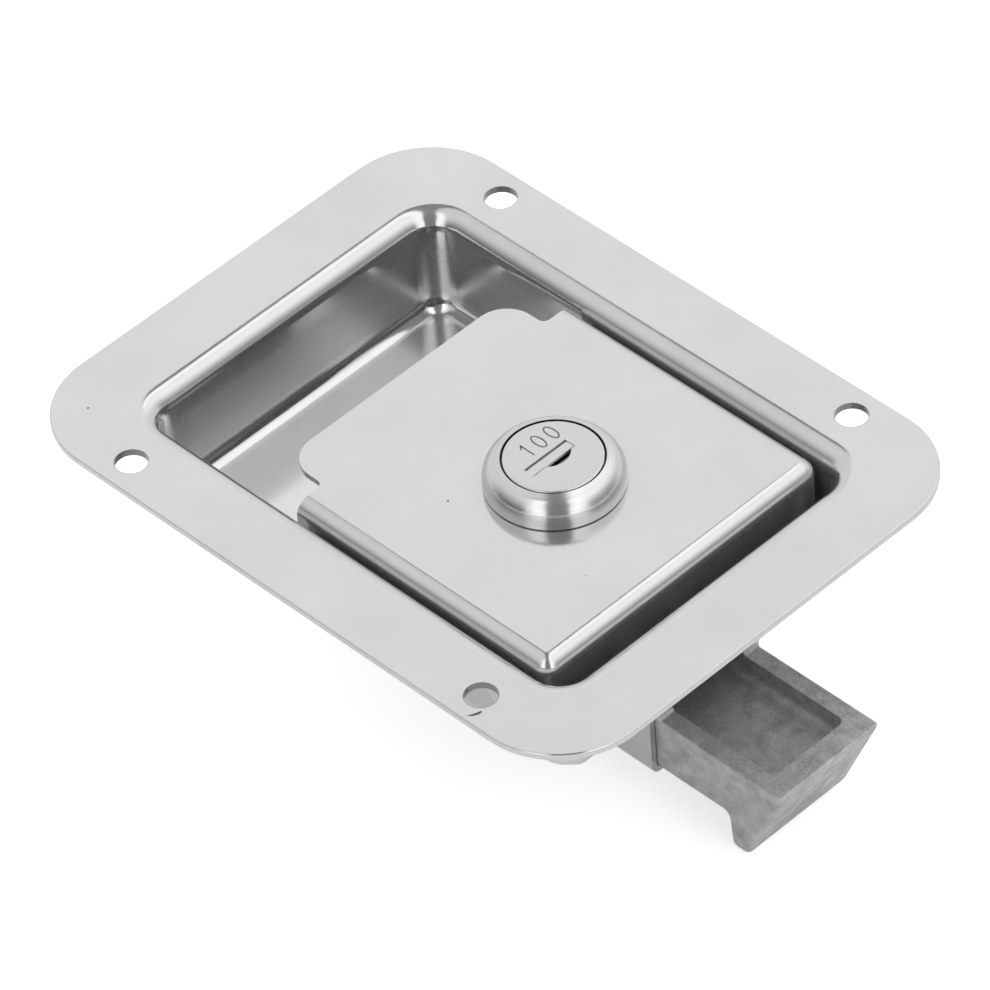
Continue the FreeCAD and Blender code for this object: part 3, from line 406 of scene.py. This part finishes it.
ring_low, ring_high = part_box("lock_ring")
lock_x = (ring_low.x + ring_high.x) / 2
face_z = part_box("lock_plug")[1].z
rim = [v.co for v in nodes["lock_ring"].data.vertices if v.co.z > face_z]
BORE = min(math.hypot(p.x - lock_x, p.y) for p in rim)
ring_steel = turned_metal("ring_chrome", grey(0.56), grey(0.72), 0.17, lock_x, 1.5, 0.92,
                          Foot=ring_low.z, Bore=BORE)
face_steel = turned_metal("plug_satin", grey(0.61), grey(0.70), 0.22, lock_x, 0.4, 0.8)
wire_steel = turned_metal("spring_wire", (0.34, 0.34, 0.35), grey(0.50), 0.35, 0.0, 0.3)
brass = turned_metal("wafer_brass", (0.60, 0.43, 0.18), (0.74, 0.57, 0.28), 0.35, lock_x, 0.3)
nylon = metal("black_nylon", 0.55, 0.0, grey(0.03))[0]
dress(ring_steel, "lock_ring")
dress(face_steel, "lock_plug", "dust_shutter")
dress(wire_steel, "bolt_spring", "paddle_spring", "hinge_clip", "shutter_pin")
dress(brass, "lock_wafers")
dress(nylon, "hinge_spacers")
print("lock axis at", round(lock_x / MM, 2), "mm, bore of radius", round(BORE / MM, 2), "mm")

# %% [markdown]
# ## Copies of the springs
#
# Both springs work as the paddle lifts. The bolt's spring is pressed shorter along X, with
# keep = (length - travel) / length
# as the share of its length that is left. The paddle's spring has one leg on the dish floor and
# one under the lever, so its coil is twisted: it bends from the fixed body to the lifting one.
# Here each spring is only copied, as a mesh of its own in its place, so that the solids themselves
# stay as they are; neither copy is pressed or twisted.

# %% Spring copies
def moving_copy(name):
    """A copy of a solid that may change its shape, shown in its place."""
    source = nodes[name]
    piece = bpy.data.objects.new(name + "_moving", source.data.copy())
    bpy.context.scene.collection.objects.link(piece)
    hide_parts(name)
    return piece


pressed = moving_copy("bolt_spring")
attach(pressed, "frame")
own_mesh(pressed)
twisted = moving_copy("paddle_spring")
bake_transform(twisted)

# %% [markdown]
# ## The number on the plug
#
# The plug carries a plain stamped number. Each stroke is a flat ribbon laid on the face, its dark
# grey painted shade for the shaded bottom of a stamped groove. A ribbon follows a path of points,
# with left = point + width / 2 * normal and right = point - width / 2 * normal.
# The digits read along +Y, with their tops towards -X.

# %% Stamped digits
STROKE = 0.30 * MM
DIGIT_HEIGHT = 3.6 * MM
DIGIT_WIDTH = 1.65 * MM
DIGIT_PLACES = (-2.15 * MM, 1.0 * MM, 4.15 * MM)
ROW_PLACE = -4.6 * MM
ROUND_STEPS = 40


def ribbon(points, closed):
    """Vertices and faces of a flat ribbon along a path in the plane."""
    path = np.array(points, float)
    ahead = np.roll(path, -1, axis=0) - np.roll(path, 1, axis=0)
    if not closed:
        ahead[0], ahead[-1] = path[1] - path[0], path[-1] - path[-2]
    normal = np.stack([-ahead[:, 1], ahead[:, 0]], axis=1)
    normal /= np.linalg.norm(normal, axis=1)[:, None]
    corners = np.concatenate([path + normal * STROKE / 2, path - normal * STROKE / 2])
    count = len(path)
    steps = range(count if closed else count - 1)
    return corners, [(i, (i + 1) % count, (i + 1) % count + count, i + count) for i in steps]


def digit_paths(digit):
    """The strokes of a 0 or a 1 that is 1 high and 1 wide about its centre."""
    if digit == "0":
        turn = np.linspace(0, 2 * math.pi, ROUND_STEPS, endpoint=False)
        return [(np.stack([0.5 * np.cos(turn), 0.5 * np.sin(turn)], axis=1), True)]
    stem, flag = [(0.12, -0.5), (0.12, 0.5)], [(-0.3, 0.22), (0.12, 0.46)]
    return [(np.array(stem), False), (np.array(flag), False)]


def stamp_number(text):
    """One mesh with all digits of a number, laid on the plug's face."""
    corners, faces = [], []
    for digit, place in zip(text, DIGIT_PLACES):
        for path, closed in digit_paths(digit):
            flat, quads = ribbon(path * (DIGIT_WIDTH, DIGIT_HEIGHT), closed)
            first = len(corners)
            corners += [(lock_x + ROW_PLACE - y, place + x, face_z + PROUD) for x, y in flat]
            faces += [tuple(first + i for i in quad) for quad in quads]
    mesh = bpy.data.meshes.new("plug_number")
    mesh.from_pydata(corners, [], faces)
    piece = bpy.data.objects.new("plug_number", mesh)
    bpy.context.scene.collection.objects.link(piece)
    return piece


number = stamp_number("100")
# The strokes' dark grey is painted shade for the bottoms of the stamped grooves.
number.data.materials.append(metal("painted_groove_shade", 0.6, 0.6, grey(0.17))[0])
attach(number, "key_plug")
print("number has", len(number.data.polygons), "faces")

# %% [markdown]
# ## Marks of use
#
# The latch is nearly new. It has one short scratch beside a hole and a few dark specks.
# A speck is a small disc, and the scratch is a bent sliver that tapers to both ends. Each lies
# just above its surface and moves with it.

# %% Scratch and specks
SPECK_SIDES = 10


def flat_mark(name, outline, z, body):
    """One dark face that lies on a level surface."""
    mesh = bpy.data.meshes.new(name)
    corners = [(x, y, z + PROUD) for x, y in outline]
    mesh.from_pydata(corners, [], [tuple(range(len(corners)))])
    piece = bpy.data.objects.new(name, mesh)
    bpy.context.scene.collection.objects.link(piece)
    mesh.materials.append(mark_dark)
    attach(piece, body)
    return piece


def disc(x, y, radius):
    """The outline of a disc about a point in millimetres."""
    turn = np.linspace(0, 2 * math.pi, SPECK_SIDES, endpoint=False)
    return np.stack([x + radius * np.cos(turn), y + radius * np.sin(turn)], axis=1) * MM


mark_dark = metal("dark_mark", 0.6, 0.3, grey(0.11))[0]
pan_top, paddle_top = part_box("pan")[1].z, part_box("paddle")[1].z
scratch = np.array([(45.86, -52.18), (46.3, -51.25), (46.75, -50.1), (46.9, -49.55),
                    (47.25, -49.65), (47.3, -50.35), (46.8, -51.4)]) * MM
marks = [flat_mark("scratch", scratch, pan_top, "frame"),
         flat_mark("speck_rim", disc(-60.36, -42.5, 0.22), pan_top, "frame"),
         flat_mark("speck_paddle", disc(5.41, -16.33, 0.22), paddle_top, "handle"),
         flat_mark("speck_bend", disc(37.0, -13.55, 0.12), paddle_top, "handle")]
print(len(marks), "marks")

# %% [markdown]
# ## Studio
#
# A polished dish shows the room more than itself, so the room is built with care. Seen from the
# latch, a pale panel stands behind it, and two long lights run from beside the camera over the
# top, the left one softer overhead. Between them is a dark gap, which draws a thin line along
# every bend. With u = how far a direction points to the camera's right, and w = how far it
# points to the camera,
# ratio = |u| / reach(w), and light = rise(ratio) * (1 - fall(ratio)).
# The rest of the room is grey. Its top is darkest at the left and palest at the right, and it
# darkens towards the ground: least behind the latch, most at the sides.
# The floor is white paper. It glows a little, so that it shows as white as the background
# and still takes the latch's shadow.

# %% World
TOWARDS_CAMERA = Vector((0.744, -0.668, 0.0))
CAMERA_RIGHT = Vector((0.668, 0.744, 0.0))
LEFT_TOP, CEILING, RIGHT_TOP = 0.95, 1.17, 1.47
GROUND_LEFT, GROUND_RIGHT, GROUND_BEHIND = 0.10, 0.38, 0.92
LONG_LIGHT, SOFT_LIGHT, DARK_GAP = 1.62, 0.88, 0.22
REACH_ABOVE, REACH_AT_CAMERA = 0.34, 0.69

world = bpy.data.worlds.new("studio")
bpy.context.scene.world = world
world.use_nodes = True
sky = world.node_tree
facing = add(sky, "TexCoord", out="Generated")


def lean(direction):
    """How far the view leans along a direction, from -1 to 1."""
    return add(sky, "VectorMath", out="Value", set_operation="DOT_PRODUCT", i0=facing, i1=direction)


def smooth(value, low, high, out_low=0.0, out_high=1.0):
    """A soft step from one value to another."""
    return add(sky, "MapRange", set_interpolation_type="SMOOTHSTEP", Value=value, From_Min=low,
               From_Max=high, To_Min=out_low, To_Max=out_high)


def mixed(share, a, b):
    """A number between two others."""
    return add(sky, "Mix", Factor=share, A=a, B=b)


up, near, right = lean(Vector((0, 0, 1))), lean(TOWARDS_CAMERA), lean(CAMERA_RIGHT)
sides = smooth(right, -0.7, 0.7, GROUND_LEFT, GROUND_RIGHT)
ground = mixed(smooth(near, -0.55, 0.1), GROUND_BEHIND, sides)
top = mixed(smooth(right, -0.3, -0.08), LEFT_TOP, smooth(right, 0.2, 0.6, CEILING, RIGHT_TOP))
room = mixed(smooth(up, smooth(right, 0.2, 0.6, 0.0, 0.22), 0.88), ground, top)
reach = smooth(near, 0.0, 0.8, REACH_ABOVE, REACH_AT_CAMERA)
ratio = maths(sky, "DIVIDE", maths(sky, "ABSOLUTE", right), reach)
lit = times(sky, smooth(ratio, 0.36, 0.46), smooth(ratio, 0.7, 1.3, 1.0, 0.0))
overhead = smooth(right, -0.2, 0.2, SOFT_LIGHT, LONG_LIGHT)
level = mixed(smooth(near, -0.05, 0.35), overhead, LONG_LIGHT)
lights = mixed(smooth(ratio, 0.33, 0.42), DARK_GAP, mixed(lit, room, level))
open_side = times(sky, smooth(near, -0.68, -0.655), smooth(up, -0.25, -0.05))
background = sky.nodes["Background"]
sky.links.new(mixed(open_side, room, lights), background.inputs["Color"])
background.inputs["Strength"].default_value = 1.0
print("room of", len(sky.nodes), "nodes")

# %% Floor
CAMERA_GLOW, GLOSSY_GLOW = 0.55, 0.15
floor_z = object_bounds()[0][2] - 0.5 * MM
bpy.ops.mesh.primitive_plane_add(size=6.0, location=(0, 0, floor_z))
floor = bpy.context.object
floor.name = "floor"
paper, tree, shader = metal("white_paper", 0.9, 0.0, grey(0.9), Specular_IOR_Level=0.0)
shader.inputs["Emission Color"].default_value = (1, 1, 1, 1)
rays = tree.nodes.new("ShaderNodeLightPath").outputs
glow = plus(tree, times(tree, rays["Is Camera Ray"], CAMERA_GLOW),
            times(tree, rays["Is Glossy Ray"], GLOSSY_GLOW))
join(tree, shader, Emission_Strength=glow)
floor.data.materials.append(paper)
print("floor at", round(floor_z / MM, 2), "mm")

# %% [markdown]
# ## Camera
#
# The camera stands where the photographer's did: 1.41 m away, 43 degrees up, with a long lens
# and the head tipped a few degrees.

# %% Camera
camera = bpy.data.cameras.new("camera")
camera.lens = 287.01
camera.sensor_width = 36.0
camera.clip_end = 20.0
eye = bpy.data.objects.new("camera", camera)
eye.location = (0.763535, -0.684316, 0.969002)
eye.rotation_euler = (math.radians(46.149), math.radians(3.400), math.radians(44.880))
bpy.context.scene.collection.objects.link(eye)
bpy.context.scene.camera = eye
bpy.context.scene.view_settings.view_transform = "Standard"
print("camera", round((eye.location - Vector((0.011, -0.01, 0))).length, 3), "m away")
